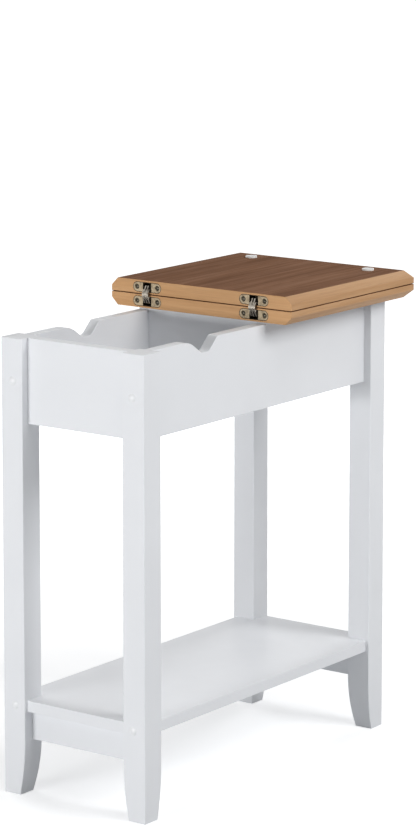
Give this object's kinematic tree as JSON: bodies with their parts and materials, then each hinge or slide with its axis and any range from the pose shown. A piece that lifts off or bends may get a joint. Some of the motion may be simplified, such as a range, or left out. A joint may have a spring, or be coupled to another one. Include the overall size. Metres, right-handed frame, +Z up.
{
  "type": "flip top end table",
  "caption": "Narrow white end table with a low shelf and a wooden top whose front half folds back on concealed hinges over an open storage box.",
  "frame": {"origin": "floor point under the middle of the table with its top folded open", "axes": "+X across the table, +Y along it towards the fixed half of the top, +Z up"},
  "size_m": [0.29, 0.553, 0.6311],
  "materials": {
    "white_paint": "satin white paint over board and solid wood",
    "top_wood": "brown wood grain, lighter tan on the edges",
    "bare_wood": "bare hardwood",
    "steel": "zinc plated steel",
    "cap_plastic": "satin white moulding",
    "bumper_plastic": "soft white pad",
    "hinge_metal": "aged brass, dull",
    "link_metal": "dark aged brass"
  },
  "bodies": {
    "table_frame": {"front_left_leg": "white_paint", "front_right_leg": "white_paint", "back_left_leg": "white_paint", "back_right_leg": "white_paint", "front_panel": "white_paint", "back_panel": "white_paint", "left_side_panel": "white_paint", "right_side_panel": "white_paint", "box_floor": "white_paint", "divider": "white_paint", "front_lower_rail": "white_paint", "back_lower_rail": "white_paint", "lower_shelf": "white_paint", "left_top_cleat": "bare_wood", "right_top_cleat": "bare_wood", "cleat_screws": "steel", "leg_bolts": "steel", "barrel_nuts": "steel", "bolt_caps": "cap_plastic", "panel_dowels": "bare_wood", "rail_dowels": "bare_wood", "divider_dowels": "bare_wood", "fixed_top": "top_wood", "left_fixed_leaf": "hinge_metal", "right_fixed_leaf": "hinge_metal", "fixed_hinge_screws": "hinge_metal", "fixed_pivot_pins": "hinge_metal"},
    "lid": {"flip_top": "top_wood", "lid_bumpers": "bumper_plastic", "left_lid_leaf": "hinge_metal", "right_lid_leaf": "hinge_metal", "lid_hinge_screws": "hinge_metal", "lid_pivot_pins": "hinge_metal"},
    "lower_link_set": {"lower_links": "link_metal", "centre_pins": "hinge_metal"},
    "upper_link_set": {"upper_links": "link_metal"}
  },
  "joints": [
    {"name": "lid_fold", "type": "hinge", "parent": "table_frame", "child": "lid", "pos_m": [0, -0.0095, 0.6103], "axis": [1, 0, 0], "range_deg": [0, 180]},
    {"name": "lower_link_turn", "type": "hinge", "parent": "table_frame", "child": "lower_link_set", "pos_m": [0, -0.00445, 0.60525], "axis": [1, 0, 0], "range_deg": [0, 90]},
    {"name": "upper_link_turn", "type": "hinge", "parent": "lid", "child": "upper_link_set", "pos_m": [0, -0.00445, 0.61535], "axis": [1, 0, 0], "range_deg": [-90, 0]}
  ],
  "couplings": [
    {"joint": "lower_link_turn", "follows": "lid_fold", "ratio": 0.5},
    {"joint": "upper_link_turn", "follows": "lid_fold", "ratio": -0.5}
  ]
}
